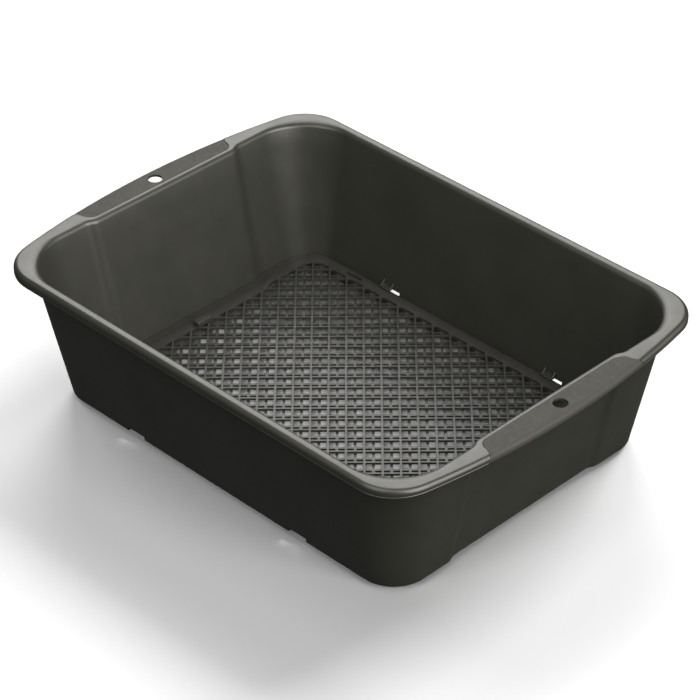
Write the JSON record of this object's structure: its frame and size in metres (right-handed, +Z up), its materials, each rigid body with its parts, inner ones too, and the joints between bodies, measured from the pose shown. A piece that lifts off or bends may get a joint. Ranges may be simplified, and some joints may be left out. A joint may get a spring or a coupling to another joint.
{
  "type": "sifting cat litter tray",
  "caption": "Open rectangular litter tray with a rolled rim, hand holds and a sieve floor whose upper grid slides to change the mesh size.",
  "frame": {"origin": "centre of the open base, on the floor", "axes": "+X along the tray towards one hand hold, +Y across it, +Z up"},
  "size_m": [0.4592, 0.3338, 0.1218],
  "materials": {
    "tub_plastic": "satin",
    "grip_inlay": "fine grained matt",
    "fixed_sieve_plastic": "satin",
    "slider_plastic": "satin",
    "raised_mark": "satin"
  },
  "bodies": {
    "tray": {"tray_shell": "tub_plastic", "fixed_sieve": "fixed_sieve_plastic", "grip_left": "grip_inlay", "grip_right": "grip_inlay", "sieve_hook_near_left": "tub_plastic", "sieve_hook_far_left": "tub_plastic", "sieve_hook_near_right": "tub_plastic", "sieve_hook_far_right": "tub_plastic"},
    "slider": {"sliding_sieve": "slider_plastic", "slide_lug_left": "slider_plastic", "slide_lug_right": "slider_plastic", "detent_nub_far": "slider_plastic", "detent_nub_near": "slider_plastic", "mark_coarse": "raised_mark", "mark_fine": "raised_mark"}
  },
  "joints": [
    {"name": "sieve_slide", "type": "slide", "parent": "tray", "child": "slider", "axis": [1, 0, 0], "range_m": [-0.00983, 0]}
  ]
}
